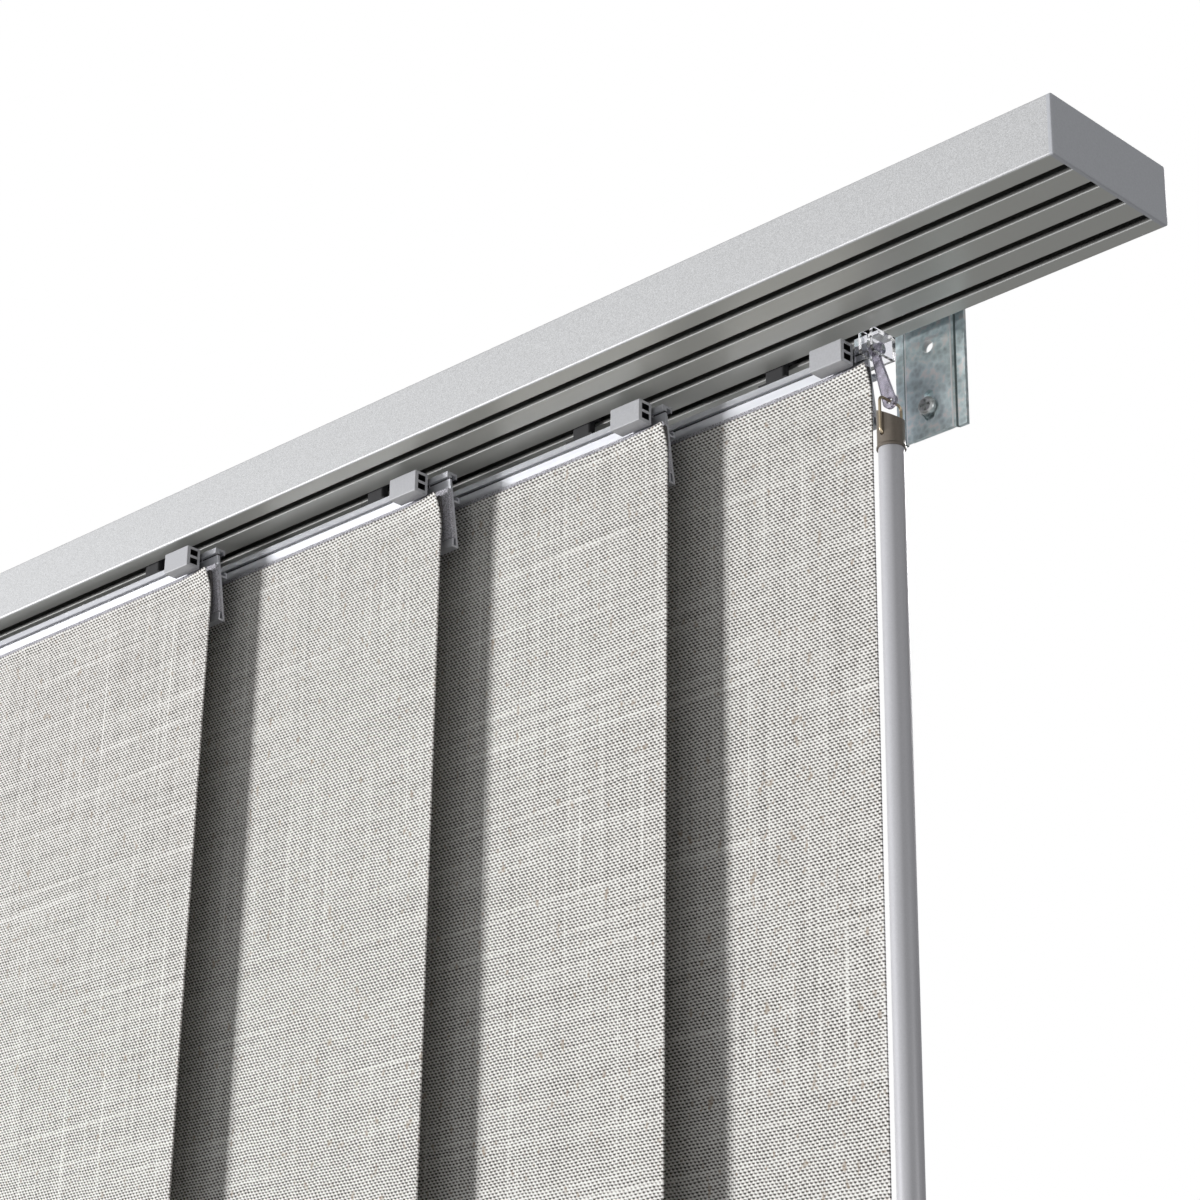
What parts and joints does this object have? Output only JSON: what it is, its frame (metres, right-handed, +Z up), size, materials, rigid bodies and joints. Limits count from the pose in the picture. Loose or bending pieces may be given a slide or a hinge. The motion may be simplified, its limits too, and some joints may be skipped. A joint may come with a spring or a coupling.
{
  "type": "panel track blind",
  "caption": "Wall-hung headrail with parallel tracks that carry sliding linen panels on tape-faced carriers, with wall brackets and a hanging hand wand.",
  "frame": {"origin": "on the wall face, at the centre of the middle bracket's wall hole, which is the middle of the row of wall holes", "axes": "+X along the headrail to the right as seen from the room, +Y into the wall, +Z up"},
  "size_m": [1.6636, 0.0736, 1.5077],
  "materials": {
    "rail_silver": "satin silver with a fine sparkle",
    "cap_grey": "smooth matt",
    "zinc_steel": "bright zinc plating",
    "screw_steel": "bright zinc plating",
    "carrier_aluminium": "satin",
    "glider_plastic": "smooth",
    "block_grey": "moulded satin",
    "hook_tape": "fine hooks",
    "loop_tape": "fine loops",
    "linen_cloth": "open plain weave with slubs",
    "bar_aluminium": "satin",
    "bar_cap_grey": "moulded satin",
    "clear_plastic": "clear moulded plastic",
    "wire_brass": "dull brass wire",
    "wand_cap_grey": "bronze grey satin",
    "rod_silver": "satin silver lacquer"
  },
  "bodies": {
    "headrail": {"headrail": "rail_silver", "end_cap_left": "cap_grey", "end_cap_right": "cap_grey", "clip_screws": "screw_steel", "hanger_screws": "screw_steel", "wall_bracket_left": "zinc_steel", "wall_bracket_middle": "zinc_steel", "wall_bracket_right": "zinc_steel", "wall_plate_left": "zinc_steel", "wall_plate_middle": "zinc_steel", "wall_plate_right": "zinc_steel", "rail_clip_left": "zinc_steel", "rail_clip_middle": "zinc_steel", "rail_clip_right": "zinc_steel"},
    "panel_1": {"carrier_rail_1": "carrier_aluminium", "gliders_1": "glider_plastic", "catch_block_1": "block_grey", "hook_tape_1": "hook_tape", "loop_tape_1": "loop_tape", "cloth_panel_1": "linen_cloth", "bottom_bar_1": "bar_aluminium", "bottom_bar_caps_1": "bar_cap_grey"},
    "panel_2": {"carrier_rail_2": "carrier_aluminium", "gliders_2": "glider_plastic", "catch_block_2": "block_grey", "hook_tape_2": "hook_tape", "loop_tape_2": "loop_tape", "cloth_panel_2": "linen_cloth", "bottom_bar_2": "bar_aluminium", "bottom_bar_caps_2": "bar_cap_grey"},
    "panel_3": {"carrier_rail_3": "carrier_aluminium", "gliders_3": "glider_plastic", "catch_block_3": "block_grey", "hook_tape_3": "hook_tape", "loop_tape_3": "loop_tape", "cloth_panel_3": "linen_cloth", "bottom_bar_3": "bar_aluminium", "bottom_bar_caps_3": "bar_cap_grey"},
    "panel_4": {"carrier_rail_4": "carrier_aluminium", "gliders_4": "glider_plastic", "catch_block_4": "block_grey", "hook_tape_4": "hook_tape", "loop_tape_4": "loop_tape", "cloth_panel_4": "linen_cloth", "bottom_bar_4": "bar_aluminium", "bottom_bar_caps_4": "bar_cap_grey", "wand_holder": "clear_plastic", "arm_pin": "screw_steel"},
    "wand_arm": {"wand_arm": "clear_plastic"},
    "wire_loop": {"wire_loop": "wire_brass"},
    "wand": {"wand_cap": "wand_cap_grey", "wand_rod": "rod_silver", "wand_tip": "wand_cap_grey"}
  },
  "joints": [
    {"name": "panel_1_slide", "type": "slide", "parent": "headrail", "child": "panel_1", "axis": [1, 0, 0], "range_m": [-0.7664, 0.4306]},
    {"name": "panel_2_slide", "type": "slide", "parent": "headrail", "child": "panel_2", "axis": [1, 0, 0], "range_m": [-0.8914, 0.3056]},
    {"name": "panel_3_slide", "type": "slide", "parent": "headrail", "child": "panel_3", "axis": [1, 0, 0], "range_m": [-1.0004, 0.1966]},
    {"name": "panel_4_slide", "type": "slide", "parent": "headrail", "child": "panel_4", "axis": [1, 0, 0], "range_m": [-1.0868, 0.1112]},
    {"name": "arm_tilt", "type": "hinge", "parent": "panel_4", "child": "wand_arm", "pos_m": [0.7168, -0.01945, -0.0042], "axis": [-1, 0, 0], "range_deg": [-1, 45]},
    {"name": "loop_swing", "type": "hinge", "parent": "wand_arm", "child": "wire_loop", "pos_m": [0.7168, -0.01945, -0.0272], "axis": [0, -1, 0], "range_deg": [0, 60]},
    {"name": "wand_swing", "type": "hinge", "parent": "wire_loop", "child": "wand", "pos_m": [0.7168, -0.01945, -0.0417], "axis": [0, -1, 0], "range_deg": [0, 6]}
  ]
}
